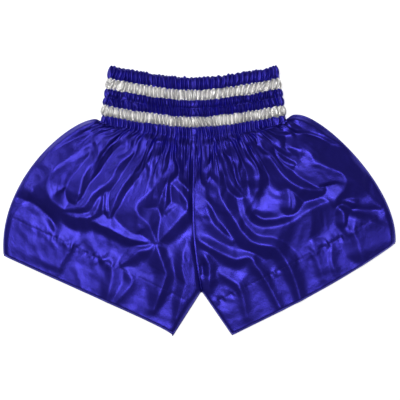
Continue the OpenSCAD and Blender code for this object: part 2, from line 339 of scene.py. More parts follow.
def band_push(s, t):
    """How far the gathers and the swelling channels stand out from the smooth band."""
    row = row_of(t)
    across = np.clip((t - ROW_EDGES[row]) / (ROW_EDGES[row + 1] - ROW_EDGES[row]), 0, 1)
    belly = np.sin(math.pi * across) ** 0.6
    last = row == len(CHANNELS) - 1  # the last row runs on into the body's gathers
    open_share = np.where(last, 0.5 + 0.5 * across, 0.5 + 0.5 * belly)
    belly = np.where(last, 0.5 * np.minimum(1, 4 * across), belly)
    strength = 0.8 + 0.45 * soft_noise(s * 128, t * 9, 13, size=128)
    depth = np.interp(t, ROW_MIDDLES, PLEAT_DEPTH) * MM
    wave = (pleat_wave(s, t) - 0.6) * depth * strength * open_share
    return wave + CLUMP * clump(s, t) * belly, PUFF * (belly - 0.5)


def band_surface(s, t, out):
    """The gathered band, moved out along its normal by out."""
    point, normal = band_frame(s, t)
    wave, puff = band_push(s, t)
    plain = 1 - 0.85 * bump(point[..., 0], CENTRE_TOP[0], PLAIN_HALF) * (normal[..., 2] > 0)
    point = point + normal * (wave * plain + puff + out)[..., None]
    heading = np.clip(1 - t / (HEADING / BAND_H), 0, 1)
    scallop = SCALLOP * (pleat_wave(s, t) - 0.6) + SCALLOP * clump(s, t)
    sway = SWAY * soft_noise(s * 64, t * 12 + 7, 15)
    point[..., 1] += (scallop * heading + sway * (1 - heading) * (1 - smooth(0.92, 1, t))) * plain
    return point


def band_piece(name, top_t, low_t, out, steps, turn_in=0.0, ragged=0.0):
    """A loop of the band's cloth. turn_in carries its top edge over and down inside by that much;
    ragged is how far its edges stand out on the crests of the gathers."""
    s, t = np.meshgrid(np.arange(AROUND) / AROUND, np.linspace(top_t, low_t, steps))
    t = t + ragged / BAND_H * (pleat_wave(s, t) - 0.6) * (2 * (t - top_t) / (low_t - top_t) - 1)
    points = band_surface(s, t, out)
    if turn_in:
        over = []
        for angle in np.linspace(math.pi, 0, 6)[:-1]:
            row = band_surface(s[:1], t[:1], out - turn_in * (1 - math.cos(angle)) / 2)
            row[..., 1] += turn_in / 2 * math.sin(angle)
            over.append(row)
        points = np.concatenate(over + [points])
        t = np.concatenate([t[:1]] * len(over) + [t])
        s = np.concatenate([s[:1]] * len(over) + [s])
    uv = np.stack([s * 2 * ROUND_BAND, t * BAND_H], -1)
    piece = grid_mesh(name, points, closed_round=True, uv=uv)
    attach(piece, HIPS)
    return piece


def channel_range(channel, margin=0.0):
    """Top and low t of a channel, counted from 1, drawn in by margin at each edge."""
    inset = margin / BAND_H
    return ROW_EDGES[channel - 1] + inset, ROW_EDGES[channel] - inset


def make_casing():
    casing = band_piece("waistband_casing_cloth", 0, 1, 0, 96, turn_in=LINING_DROP)
    dress(casing, SATIN, "blue_satin", "waistband_casing")


def make_lining():
    """The inner layer starts just below the turned-in top edge of the casing."""
    lining = band_piece("waistband_lining_cloth", 0.004, 1, -LINING_DROP, 40)
    dress(lining, SATIN_INSIDE, "satin_inside", "waistband_lining")


def make_ribbon(name, channel):
    top_t, low_t = channel_range(channel)
    ribbon = band_piece(name + "_cloth", top_t, low_t, 0.5 * MM, 20, ragged=RAGGED)
    dress(ribbon, SILVER, "silver_satin", name)


def make_elastic_strip(channel):
    """A flat loop of tape between casing and lining, a little narrower than its channel."""
    top_t, low_t = channel_range(channel, 0.8 * MM)
    strip = band_piece(f"elastic_tape_{channel}", top_t, low_t, -LINING_DROP / 2, 6)
    dress(strip, ELASTIC, "elastic", f"elastic_strip_{channel}")


def make_band_stitching(row, t):
    """The stitches below a channel; the lowest row stays just above the waist seam."""
    s = np.arange(2200) / 2200
    row_t = t - (0.012 if t == 1 else 0)
    path = band_surface(s, row_t + 0 * s, 0.25 * MM)
    threads = stitches(f"waistband_stitching_{row}", path, band_frame(s, row_t + 0 * s)[1], BAND_STITCH)
    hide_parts("waistband_stitching")
    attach(threads, HIPS)


def make_waistband():
    make_casing()
    make_lining()
    for name, channel in RIBBON_CHANNELS.items():
        make_ribbon(name, channel)
    for channel in range(1, len(CHANNELS) + 1):
        make_elastic_strip(channel)
    for row, t in enumerate(ROW_EDGES[1:], 1):
        make_band_stitching(row, t)


# ---- body panels
EDGE_Z = 4 * MM  # where front and back meet at the side seams and inseams
ROLL = 16 * MM  # how far in from an edge the front layer keeps rising
WAIST_Z = BAND_Z + BAND_HALF_THICK  # where the front joins the waistband
LOWEST_FRONT = 3.2 * MM  # the front never sinks into the back layer
SEAM_HOLD = 9 * MM  # how far in from a seam the cloth is held down
BODY_Z = 14 * MM  # how high the front lies over the thighs
Fold = namedtuple("Fold", "path height left right")
# Folds as they lie: path points are (u, v) on the panel, height is in mm, and left and right are
# the slopes of the cloth on the two sides of the path. A negative height is a crease.
FOLDS = {
    RIGHT: [
        # the light strip along the outside of the thigh
        Fold([(0.92, 0.11), (0.95, 0.24), (0.97, 0.36), (0.98, 0.45)], 7, 0.41, 0.15),
        # the big swirl that runs from the waist round the outside of the thigh
        Fold([(0.79, 0.18), (0.84, 0.38), (0.88, 0.48), (0.88, 0.58), (0.83, 0.64), (0.76, 0.66)],
             12, 0.24, 0.3),
        Fold([(0.88, 0.58), (0.93, 0.60), (0.93, 0.69)], 6, 0.34, 0.32),
        Fold([(0.72, 0.10), (0.72, 0.30), (0.72, 0.46), (0.70, 0.55), (0.70, 0.63)], 10, 0.45, 0.29),
        Fold([(0.48, 0.16), (0.56, 0.29), (0.57, 0.41), (0.63, 0.52), (0.66, 0.61), (0.76, 0.67)],
             10, 0.32, 0.37),
        # the two lips under it, and the upside-down V they meet in
        Fold([(0.59, 0.46), (0.58, 0.56), (0.60, 0.63), (0.67, 0.67), (0.75, 0.68)], 8, 0.38, 0.34),
        Fold([(0.59, 0.46), (0.56, 0.49), (0.54, 0.55), (0.51, 0.59)], 7, 0.38, 0.45),
        # long folds that fan out of the gathers
        Fold([(0.43, 0.04), (0.45, 0.26), (0.49, 0.43), (0.51, 0.59)], 10, 0.4, 0.34),
        Fold([(0.32, 0.03), (0.25, 0.17), (0.29, 0.33), (0.37, 0.46), (0.35, 0.51), (0.28, 0.54),
              (0.24, 0.60)], 10, 0.32, 0.18),
        Fold([(0.23, 0.02), (0.20, 0.18), (0.20, 0.32), (0.20, 0.45)], 6, 0.41, 0.41),
        Fold([(0.18, 0.27), (0.04, 0.34), (0.13, 0.47), (0.23, 0.60)], 7, 0.38, 0.22),
        Fold([(0.20, 0.45), (0.15, 0.39), (0.07, 0.34)], 4, 0.32, 0.32),
        Fold([(0.12, 0.01), (0.07, 0.13), (0.02, 0.26)], 7, 0.27, 0.41),
        # folds that leave the knot near the inseam
        Fold([(0.24, 0.61), (0.28, 0.66), (0.34, 0.70), (0.40, 0.79)], 5, 0.3, 0.45),
        Fold([(0.24, 0.61), (0.20, 0.70), (0.17, 0.81), (0.15, 0.93)], 6, 0.45, 0.28),
        Fold([(0.05, 0.52), (0.09, 0.69), (0.03, 0.92)], 5, 0.12, 0.4),
        # the step above the hem, and the groove that it dies out in
        Fold([(0.73, 0.69), (0.64, 0.66), (0.51, 0.65), (0.38, 0.65), (0.24, 0.61)], 6, 0.16, 0.5),
        Fold([(0.98, 0.71), (0.89, 0.70), (0.80, 0.73), (0.75, 0.78)], -3, 0.45, 0.45),
        # folds across the hem
        Fold([(0.64, 0.80), (0.67, 0.88), (0.69, 0.97)], 3, 0.3, 0.05),
        Fold([(0.50, 0.80), (0.42, 0.85), (0.39, 1.00)], 4, 0.2, 0.3),
        Fold([(0.36, 0.81), (0.31, 0.86), (0.35, 0.99)], 3, 0.25, 0.2),
    ],
    LEFT: [
        # folds that fan out of the gathers
        Fold([(0.14, 0.02), (0.13, 0.13), (0.11, 0.24)], 6, 0.36, 0.36),
        Fold([(0.27, 0.03), (0.27, 0.16), (0.28, 0.29), (0.33, 0.39)], 8, 0.36, 0.38),
        Fold([(0.33, 0.03), (0.36, 0.20), (0.34, 0.37)], 7, 0.34, 0.36),
        Fold([(0.38, 0.03), (0.47, 0.19), (0.48, 0.32), (0.44, 0.41)], 8, 0.41, 0.28),
        Fold([(0.51, 0.01), (0.59, 0.21), (0.61, 0.40), (0.66, 0.50), (0.75, 0.56)], 10, 0.34, 0.41),
        Fold([(0.62, 0.20), (0.66, 0.33), (0.72, 0.40)], 7, 0.36, 0.34),
        Fold([(0.64, 0.04), (0.69, 0.22), (0.76, 0.36)], 7, 0.32, 0.36),
        # the lobe that points to the outside of the thigh
        Fold([(0.72, 0.25), (0.82, 0.34), (0.81, 0.42), (0.88, 0.53), (0.87, 0.59), (0.79, 0.63)],
             12, 0.3, 0.2),
        Fold([(0.84, 0.10), (0.92, 0.23), (0.99, 0.40)], 5, 0.12, 0.45),
        # the long fold from the gathers down to the hem
        Fold([(0.17, 0.03), (0.21, 0.22), (0.19, 0.32), (0.24, 0.47), (0.31, 0.63), (0.43, 0.74),
              (0.42, 1.00)], 9, 0.34, 0.42),
        # the pillow in the middle, the V at its side and the lip round it
        Fold([(0.33, 0.41), (0.32, 0.51), (0.38, 0.59), (0.52, 0.63), (0.66, 0.62), (0.79, 0.63)],
             6, 0.36, 0.13),
        Fold([(0.36, 0.50), (0.41, 0.56), (0.53, 0.60)], -3, 0.41, 0.41),
        Fold([(0.61, 0.43), (0.58, 0.52), (0.54, 0.59)], 6, 0.36, 0.36),
        Fold([(0.60, 0.44), (0.60, 0.54), (0.55, 0.60)], 6, 0.36, 0.36),
        # folds that leave the crotch
        Fold([(0.09, 0.36), (0.12, 0.46), (0.21, 0.58)], 4, 0.4, 0.25),
        Fold([(0.03, 0.51), (0.09, 0.57), (0.20, 0.67), (0.29, 0.72), (0.30, 0.98)], 5, 0.35, 0.35),
        Fold([(0.04, 0.57), (0.06, 0.65), (0.04, 0.75)], 4, 0.3, 0.4),
        Fold([(0.03, 0.62), (0.02, 0.69)], -4, 0.45, 0.45),
        Fold([(0.11, 0.70), (0.17, 0.80), (0.12, 0.95)], 3, 0.25, 0.3),
        # the small crumple at the outer end of the hem stitching
        Fold([(0.79, 0.64), (0.84, 0.67), (0.87, 0.71)], 4, 0.32, 0.36),
        Fold([(0.78, 0.67), (0.79, 0.71), (0.76, 0.78)], 6, 0.36, 0.41),
        Fold([(0.79, 0.67), (0.86, 0.73), (0.96, 0.79)], -3, 0.41, 0.36),
        # folds across the hem
        Fold([(0.60, 0.75), (0.58, 0.83), (0.57, 0.95)], 3, 0.1, 0.3),
        Fold([(0.67, 0.83), (0.64, 0.89), (0.64, 0.96)], 2.5, 0.25, 0.25),
        Fold([(0.85, 0.74), (0.80, 0.82), (0.80, 0.99)], 7, 0.1, 0.3),
    ],
}
CREST = 1.6 * MM  # how round a fold's crest is
FOOT = 1 * MM  # how softly its flanks run out
NOT_ZERO = 1e-12  # keeps a point that lies on the path from dividing by zero


def curve_points(side, path, steps=8):
    """Plan points and shares along a smooth curve through a fold's path points."""
    knots = np.array([path[0]] + list(path) + [path[-1]], float)
    uv = []
    for a, b, c, d in zip(knots, knots[1:], knots[2:], knots[3:]):
        t = np.arange(steps)[:, None] / steps
        uv.append(cubic(a, b, c, d, t))
    uv = np.clip(np.concatenate(uv + [knots[-1:]]), 0, 1)
    return plan(side, uv[:, 0], uv[:, 1]), np.linspace(0, 1, len(uv))


def fold_tent(side, fold, points):
    """Height of one fold's tent at each plan point; its foot runs out softly."""
    line, share = curve_points(side, fold.path)
    flat = points.reshape(-1, 2)
    height = abs(fold.height) * MM
    reach = (height + 3 * FOOT) / min(fold.left, fold.right)
    near = np.all((flat > line.min(0) - reach) & (flat < line.max(0) + reach), axis=1)
    run = np.diff(line, axis=0)
    offset = flat[near, None] - line[None, :-1]
    on_run = np.clip((offset * run).sum(-1) / (run ** 2).sum(-1), 0, 1)
    away = offset - on_run[..., None] * run
    distance = np.hypot(away[..., 0], away[..., 1])
    here, nearest = np.arange(len(distance)), distance.argmin(1)
    away, run, distance = away[here, nearest], run[nearest], distance[here, nearest]
    place = share[nearest] + on_run[here, nearest] * (share[1] - share[0])
    # how far to the left of the path, from -1 to 1, for the flanks to meet smoothly past its ends
    turned = run[:, 0] * away[:, 1] - run[:, 1] * away[:, 0]
    lefts = turned / (np.hypot(run[:, 0], run[:, 1]) * distance + NOT_ZERO)
    slope = lerp(fold.right, fold.left, (1 + lefts) / 2)
    taper = smooth(-0.2, 0.25, place) * (1 - 0.5 * smooth(0.75, 1, place))
    total = np.zeros(len(flat))
    tent = height * taper - slope * (np.sqrt(distance ** 2 + CREST ** 2) - CREST)
    total[near] = FOOT * np.log1p(np.exp(tent / FOOT))
    return total.reshape(points.shape[:-1])


def folds_height(side, points):
    """The cloth hangs from ridge to ridge, and the creases are cut into it."""
    ridges_top, creases = np.zeros((2, *points.shape[:-1]))
    for fold in FOLDS[side]:
        tent = fold_tent(side, fold, points)
        if fold.height > 0:
            ridges_top = np.maximum(ridges_top, tent)
        else:
            creases = np.maximum(creases, tent)
    return ridges_top - creases


def band_share(x):
    """How far round the band, as s, its front has the plan position x."""
    straight = 2 * (SEAM_HALF - BAND_HALF_THICK)
    loop = 2 * straight + 2 * math.pi * BAND_HALF_THICK
    return np.clip(x - BAND_X + straight / 2, 0, straight) / loop


def fine_gathers(side, u, v):
    """The waistband's pleats carried on into the body; some run further down than others."""
    down = v * (RISE + INSEAM)
    s = band_share(plan(side, u, 0 * v)[..., 0])
    sway = 0.5 * soft_noise(u * 40, down / (30 * MM), 25) * smooth(0, 20 * MM, down)
    wave = band_push(s + sway / PLEATS[-1], 1 + 0 * v)[0]
    reach = (50 + 36 * soft_noise(s * 64, 0 * s, 24)) * MM
    return 0.75 * wave * np.exp(-(down / reach) ** 2)


def gathers(u, v):
    """The broader folds that the pleats merge into as they run down."""
    down = v * (RISE + INSEAM)
    pitch, reach, depth = 12 * MM, 80 * MM, 4.4 * MM
    around = u * SEAM_HALF / pitch
    wave = ridges(around + 0.8 * soft_noise(around, down / (3 * pitch), 22), 0.3) - 0.5
    return depth * wave * smooth(0.2 * pitch, 2 * pitch, down) * np.exp(-(down / reach) ** 2)


def puckers(side, u, v):
    """Small pinches along the hem's stitch row."""
    depth = (v - hem_line_v(u)) * (RISE + INSEAM) * 0.8
    along = u * HEM_WIDTH
    pinch = soft_noise(along / (4.2 * MM), depth / (8 * MM) + 5, 31 + side, size=128)
    crumple = soft_noise(along / (9 * MM), depth / (10 * MM) + 20, 35 + side)
    patchy = 0.6 + 0.5 * soft_noise(along / (40 * MM), 0 * along + 3, 37 + side)
    near = 0.9 * pinch * bump(depth, 0, 7 * MM) + 1.3 * crumple * bump(depth, -1 * MM, 12 * MM)
    return MM * (near * patchy - 0.2 * bump(depth, 0, 1.6 * MM))


# Wrinkles over a whole panel: their height, the size of their cells across and down the
# garment, how far they wander across and down (in cells), and their seed
Wrinkles = namedtuple("Wrinkles", "height across down wander_across wander_down seed")
FRONT_CREASES = Wrinkles(3 * MM, 48 * MM, 60 * MM, 0.6, 0, 41)
FRONT_CRINKLES = Wrinkles(0.7 * MM, 17 * MM, 26 * MM, 1, 2, 43)
BACK_CREASES = Wrinkles(1.8 * MM, 22 * MM, 32 * MM, 1.5, 1, 51)
BACK_CRINKLES = Wrinkles(0.5 * MM, 9 * MM, 13 * MM, 2, 2, 53)


def wrinkles(kind, x, y, warp):
    """Height of one kind of wrinkle at plan positions; warp, from -1 to 1, makes them wander."""
    across = x / kind.across + kind.wander_across * warp
    down = y / kind.down + kind.wander_down * warp
    return kind.height * wrinkle(across, down, kind.seed)


def edge_rise(share):
    """The front's rise from an edge: a small roll, then an even slope."""
    return 0.35 * round_edge(3.5 * share) + 0.65 * np.clip(share, 0, 1)


def front_height(side, u, v):
    """Height of the front layer before it settles."""
    points = plan(side, u, v)
    width = panel_width(side, v)
    from_side, from_middle = (1 - u) * width, u * width
    slope_reach = lerp(ROLL, 60 * MM, bump(v, 0.28, 0.28)) - 7 * MM * smooth(0.7, 0.8, v)
    rise_side = edge_rise(from_side / slope_reach)
    rise_in = round_edge(from_middle / (0.7 * ROLL))
    body_z = lerp(WAIST_Z, BODY_Z, smooth(0, 0.35, v)) - 4 * MM * smooth(0.6, 0.9, v)
    on_leg = smooth(CROTCH_V - 0.1, CROTCH_V + 0.05, v)
    seam_z = lerp(body_z - 3 * MM * smooth(0, 0.2, v), EDGE_Z, on_leg)
    z = lerp(seam_z, body_z, rise_in)
    z = lerp(EDGE_Z, z, lerp(1, rise_side, smooth(0.02, 0.12, v)))
    free = smooth(0, SEAM_HOLD, from_side) * lerp(0.35, 1, smooth(0, SEAM_HOLD, from_middle))
    free = free * smooth(0, 0.06, v)
    x, y = points[..., 0] + 1, points[..., 1] + 1
    warp = soft_noise(x / (60 * MM), y / (60 * MM), 42)
    extra = gathers(u, v) + folds_height(side, points)
    loose = lerp(1, 0.4, smooth(-0.08, 0, v - hem_line_v(u)))  # the hem is three layers thick
    extra += wrinkles(FRONT_CREASES, x, y, warp) * smooth(0.1, 0.3, v) * loose
    extra += wrinkles(FRONT_CRINKLES, x, y, warp) * loose
    return np.maximum(z + extra * free, LOWEST_FRONT)


def round_edge(share):
    """A quarter circle's rise from 0 at an edge to 1."""
    return np.sqrt(np.clip(1 - (1 - np.clip(share, 0, 1)) ** 2, 0, 1))


# ---- settling the cloth
SIM_U, SIM_V = 106, 106
SIM_SCALE = 10  # the solver is steadier on a garment this many times larger
SIM_FRAMES = 24
SIM_FLOOR = 2.6 * MM  # top of the back layer that the front one rests on
SPREAD = 0.006  # the cut cloth is this much longer than it lies, so it crumples
HOLD = 0.45  # how strongly the inside of a panel keeps its laid folds


def shaped_grid(side, rows, columns):
    """A front panel as it is laid, before it settles."""
    u, v = unit_grid(rows, columns)
    height = blur(front_height(side, u, v), 2)
    return np.concatenate([plan(side, u, v), height[..., None]], -1)


def settle(grids):
    """Lets the front panels crumple and sink on to the back layer; returns the grids as they end up."""
    bpy.ops.mesh.primitive_plane_add(size=2 * SIM_SCALE, location=(0, 0, SIM_FLOOR * SIM_SCALE))
    table = bpy.context.object
    table.modifiers.new("collision", "COLLISION")
    table.collision.thickness_outer = 0.002
    cloths = {side: drop_cloth(grid) for side, grid in grids.items()}
    for frame_number in range(1, SIM_FRAMES + 1):
        bpy.context.scene.frame_set(frame_number)
    settled = {}
    for side, cloth in cloths.items():
        shape = cloth.evaluated_get(bpy.context.evaluated_depsgraph_get()).data
        flat = np.array([v.co for v in shape.vertices], float) / SIM_SCALE
        settled[side] = flat.reshape(grids[side].shape)
    for thing in (table, *cloths.values()):
        bpy.data.objects.remove(thing)
    bpy.context.scene.frame_set(1)
    return settled


def drop_cloth(grid):
    """A cloth object for the solver, whose edges are sewn fast and whose inside is held loosely."""
    cloth = grid_mesh("settling_cloth", grid * SIM_SCALE)
    hold = cloth.vertex_groups.new(name="hold")
    index = np.arange(grid.shape[0] * grid.shape[1]).reshape(grid.shape[:2])
    edge = np.concatenate([index[0], index[-1], index[:, 0], index[:, -1]])
    hold.add(index.ravel().tolist(), HOLD, "REPLACE")
    hold.add(edge.tolist(), 1.0, "REPLACE")
    settings = cloth.modifiers.new("cloth", "CLOTH").settings
    settings.quality = 6
    settings.mass = 0.15
    settings.tension_stiffness = 20
    settings.compression_stiffness = 20
    settings.shear_stiffness = 8
    settings.bending_stiffness = 25
    settings.vertex_group_mass = "hold"
    settings.pin_stiffness = 1.0
    settings.shrink_min = -SPREAD
    return cloth


def blur(values, passes):
    """Evens out short ripples; the edges stay as they are."""
    for _ in range(passes):
        for axis in (0, 1):
            inner = values.swapaxes(0, axis)
            inner[1:-1] = (inner[:-2] + 2 * inner[1:-1] + inner[2:]) / 4
    return values


def resample(grid, rows, columns):
    """The same surface with other numbers of rows and columns, by cubic interpolation."""
    return along(along(grid, rows).swapaxes(0, 1), columns).swapaxes(0, 1)


def along(grid, count):
    """The same surface with another number of rows."""
    place = np.linspace(0, len(grid) - 1, count)
    k = np.minimum(place.astype(int), len(grid) - 2)
    t = (place - k)[:, None, None]
    a, b, c, d = (grid[np.clip(k + step, 0, len(grid) - 1)] for step in (-1, 0, 1, 2))
    return cubic(a, b, c, d, t)


PANEL_U, PANEL_V = 291, 241
RIPPLE_BLUR = 4
HEM_DROP = 4 * MM  # how far the pressed hem edge dips


def front_grids():
    """The front panels' surfaces, settled and with their finest gathers and stitching puckers."""
    grids = {side: shaped_grid(side, PANEL_V, PANEL_U) for side in (RIGHT, LEFT)}
    laid = {side: resample(grids[side], SIM_V, SIM_U) for side in grids}
    settled = settle(laid)
    for side in grids:
        grids[side] += resample(blur(settled[side] - laid[side], RIPPLE_BLUR), PANEL_V, PANEL_U)
    u, v = unit_grid(PANEL_V, PANEL_U)
    for side, grid in grids.items():
        width = panel_width(side, v)
        inside = np.minimum(round_edge((1 - u) * width / ROLL), round_edge(u * width / ROLL))
        pleats = fine_gathers(side, u, v) * lerp(1, inside, smooth(0, 0.1, v))
        from_hem = (1 - v) * (RISE + INSEAM)
        hem_drop = HEM_DROP * np.exp(-(from_hem / (2 * MM)) ** 2)
        grid[..., 2] += puckers(side, u, v) * lerp(0.3, 1, inside) + pleats - hem_drop
        grid[..., 2] = np.maximum(grid[..., 2], LOWEST_FRONT)
    return grids


def sample(grid, u, v):
    """Points on a panel's surface at (u, v)."""
    u, v = np.broadcast_arrays(np.asarray(u, float), np.asarray(v, float))
    rows, columns = grid.shape[0] - 1, grid.shape[1] - 1
    y, x = np.clip(v, 0, 1) * rows, np.clip(u, 0, 1) * columns
    j, i = np.minimum(y.astype(int), rows - 1), np.minimum(x.astype(int), columns - 1)
    fy, fx = (y - j)[..., None], (x - i)[..., None]
    return lerp(lerp(grid[j, i], grid[j, i + 1], fx), lerp(grid[j + 1, i], grid[j + 1, i + 1], fx), fy)


def leg_blend(piece, side):
    """Bakes the piece's placement into its mesh; the leg's fold is looked up, but the piece is not bent.
    """
    joint = next(j for j in frame["joints"] if j["name"] == f"{SIDE_NAME[side]}_leg_fold")
    axis = Vector(joint["axis"])
    across = Vector((axis.y, -axis.x, 0))
    if across.y > 0:
        across = -across
    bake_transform(piece)


CLOTH = 0.35 * MM  # thickness of the satin
FACING_CLOTH = 0.3 * MM
SEAM_CLOTH = 0.4 * MM  # a seam's pressed allowances
HEM_RADIUS = 0.9 * MM  # of the fold at the hem's edge
FRONT_FACING_RISE = -1.7 * MM  # the facing lies under the front panel
BACK_FACING_RISE = 0.7 * MM  # and on the back panel
SEAM_STITCH_SHARE = 0.62  # where the stitches lie between the seam's middle and its edge
SEAM_SPREAD = 4 * MM  # half width of the pressed centre seam


def panel_mesh(name, side, grid, upward=True):
    """A panel's mesh, with its faces turned up or down whichever leg it is for."""
    flipped = (side == RIGHT) == upward
    points = grid[:, ::-1] if flipped else grid
    piece = grid_mesh(name, points)
    piece.data.flip_normals()
    return piece


def roll_under(grid, radius, steps=4):
    """Adds rows that turn the lower edge under, as where the hem is folded."""
    edge = grid[-1]
    inward = grid[-4] - edge
    inward[:, 2] = 0
    inward /= np.linalg.norm(inward, axis=1, keepdims=True)
    rows = []
    for angle in np.linspace(0, math.pi, steps + 1)[1:]:
        row = edge - inward * radius * math.sin(angle)
        row[:, 2] -= radius * (1 - math.cos(angle))
        rows.append(row)
    return np.concatenate([grid, np.stack(rows)])


def tuck_under(grid, reach, drop):
    """Adds a row that carries the upper edge on under the waistband."""
    row = grid[:1] + (0, reach, -drop)
    return np.concatenate([row, grid])


def make_front(side, grid):
    """A front panel: its upper edge runs on under the waistband and its lower edge turns under."""
    name = SIDE_NAME[side]
    shape = roll_under(tuck_under(grid, reach=3 * MM, drop=1 * MM), HEM_RADIUS)
    front = panel_mesh(f"{name}_front_panel_cloth", side, shape)
    thicken(front, CLOTH)
    dress(front, SATIN, "blue_satin", f"{name}_front_panel_hip", f"{name}_front_panel_leg")
    leg_blend(front, side)


def facing_grid(grid, rise):
    """The turned-up part of the hem, just inside a panel."""
    u, share = np.meshgrid(np.linspace(0.015, 0.985, 150), np.linspace(0, 1, 40))
    points = sample(grid, u, lerp(hem_line_v(u) - 0.02, 1, share))
    points[..., 2] += rise
    return points


def make_hem_facing(side, layer, grid, rise):
    """The facing of one layer, front or back, higher by rise than the panel with the given grid."""
    name = f"{SIDE_NAME[side]}_{layer}_hem_facing"
    facing = panel_mesh(name + "_cloth", side, facing_grid(grid, rise), upward=layer == "front")
    thicken(facing, FACING_CLOTH, offset=0)
    dress(facing, SATIN_INSIDE, "satin_inside", name)
    leg_blend(facing, side)


def point_along(run, points, distance):
    """The point at a distance along a path; run is the distance at each of its points."""
    return np.array([np.interp(distance, run, points[:, k]) for k in range(3)])


Stitch = namedtuple("Stitch", "length gap width height")
BAND_STITCH = Stitch(2.2 * MM, 0.8 * MM, 0.45 * MM, 0.25 * MM)
HEM_STITCH = Stitch(2.6 * MM, 0.9 * MM, 0.5 * MM, 0.3 * MM)
SEAM_STITCH = Stitch(2.4 * MM, 0.9 * MM, 0.45 * MM, 0.3 * MM)
# Faces of one thread: its corners are one end, the three of the hump there, and the other end's
THREAD_FACES = [(0, 2, 1), (0, 3, 2), (4, 5, 6), (4, 6, 7), (1, 2, 6, 5), (2, 3, 7, 6), (3, 1, 5, 7),
                (0, 1, 3), (4, 7, 5)]


def stitches(name, path, up, stitch):
    """A row of short threads along a path of points, as one mesh; up is the way they stand out.

    Each thread has a three-sided hump near either end and tapers to a point there."""
    length, gap, width, height = stitch
    steps = np.linalg.norm(np.diff(path, axis=0), axis=1)
    run = np.concatenate([[0], np.cumsum(steps)])
    up = np.broadcast_to(np.array(up, float), path.shape)
    starts = np.arange(gap, run[-1] - length, length + gap)
    verts, faces = [], []
    for start in starts:
        ends = [point_along(run, path, distance) for distance in (start, start + length)]
        lift = point_along(run, up, start)
        forward = ends[1] - ends[0]
        forward /= np.linalg.norm(forward)
        across = np.cross(lift, forward) * width / 2
        base = len(verts)
        for end, inward in ((ends[0], 0.25), (ends[1], -0.25)):
            tip = end + forward * length * inward
            verts += [end, tip + across, tip + lift * height, tip - across]
        faces += [[base + corner for corner in face] for face in THREAD_FACES]
    mesh = bpy.data.meshes.new(name)
    mesh.from_pydata([tuple(v) for v in verts], [], faces)
    mesh.materials.append(THREAD)
    row = bpy.data.objects.new(name, mesh)
    bpy.context.scene.collection.objects.link(row)
    return row


def make_hem_stitching(side, front_grid, back_grid):
    """One row of stitches above the hem on the front, and one on the outside of the back."""
    u = np.linspace(0.02, 0.98, 300)
    name = f"{SIDE_NAME[side]}_hem_stitching"
    for layer, grid, up, drop in (("front", front_grid, 1, 0), ("back", back_grid, -1, 0.35 * MM)):
        path = sample(grid, u, hem_line_v(u))
        path[:, 2] -= drop
        row = stitches(f"{name}_{layer}", path, (0, 0, up), HEM_STITCH)
        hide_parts(name)
        leg_blend(row, side)


def make_centre_seam(layer, path, crown, thickness):
    """The pressed seam down the front or back; its middle stands up, or down, by crown."""
    shares = np.linspace(-1, 1, 7)
    rows = np.stack([path + (SEAM_SPREAD * k, 0, crown * (1 - k * k)) for k in shares], 1)
    seam = grid_mesh(f"{layer}_centre_seam_cloth", rows)
    if layer == "front":
        seam.data.flip_normals()
    thicken(seam, thickness)
    dress(seam, SATIN, "blue_satin", f"{layer}_centre_seam")
    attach(seam, HIPS)


def make_centre_seams(fronts, backs):
    """The pressed seams down the middle of front and back, and the front's two rows of stitches."""
    v = np.linspace(0, CROTCH_V * 0.995, 160)
    front = (sample(fronts[RIGHT], 0 * v, v) + sample(fronts[LEFT], 0 * v, v)) / 2
    front[:, 2] += 0.5 * MM
    make_centre_seam("front", front, crown=0.9 * MM, thickness=0.8 * MM)
    back = (sample(backs[RIGHT], 0 * v, v) + sample(backs[LEFT], 0 * v, v)) / 2
    back[:, 2] -= 0.2 * MM
    make_centre_seam("back", back, crown=-0.5 * MM, thickness=0.5 * MM)
    for k in (-1, 1):
        path = front + (SEAM_SPREAD * SEAM_STITCH_SHARE * k, 0, 0.85 * MM)
        row = stitches(f"centre_seam_stitching_{k + 2}", path, (0, 0, 1), SEAM_STITCH)
        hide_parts("centre_seam_stitching")
        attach(row, HIPS)


def make_allowance(name, side, top, low, outward, *nodes):
    """A seam's allowance, inside the edge where front and back meet; outward moves its middle."""
    rows = np.stack([top, lerp(top, low, 0.5), low], 1)
    rows[:, 1, :2] += outward
    seam = grid_mesh(f"{name}_cloth", rows)
    thicken(seam, SEAM_CLOTH, offset=0)
    dress(seam, SATIN, "blue_satin", *nodes)
    leg_blend(seam, side)


def make_side_seam(side, front_grid, back_grid):
    name = f"{SIDE_NAME[side]}_side_seam"
    v = np.linspace(0.02, 0.995, 150)
    top, low = sample(front_grid, 1 + 0 * v, v), sample(back_grid, 1 + 0 * v, v)
    outward = (top - sample(front_grid, 0.975 + 0 * v, v))[:, :2] * 0.06
    make_allowance(name, side, top, low, outward, name + "_hip", name + "_leg")


def make_inseam(side, front_grid, back_grid):
    name = f"{SIDE_NAME[side]}_inseam"
    v = np.linspace(CROTCH_V + 0.005, 0.995, 50)
    top, low = sample(front_grid, 0 * v, v), sample(back_grid, 0 * v, v)
    make_allowance(name, side, top, low, 0, name)


def make_gusset(fronts, backs):
    """The diamond of cloth at the crotch, seen edge on between the legs."""
    v = np.linspace(CROTCH_V - 0.03, CROTCH_V + 0.022, 10)
    inset = 0.02
    panels = (fronts[RIGHT], backs[RIGHT], backs[LEFT], fronts[LEFT])
    a, b, c, d = (sample(grid, inset + 0 * v, v) for grid in panels)
    low = lerp(b, c, 0.5)
    rows = np.stack([lerp(a, b, 0.3), lerp(a, low, 0.8), low, lerp(d, low, 0.8), lerp(d, c, 0.3)], 1)
    gusset = grid_mesh("crotch_gusset_cloth", rows)
    thicken(gusset, SEAM_CLOTH, offset=0)
    dress(gusset, SATIN_INSIDE, "blue_satin", "crotch_gusset")
    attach(gusset, HIPS)


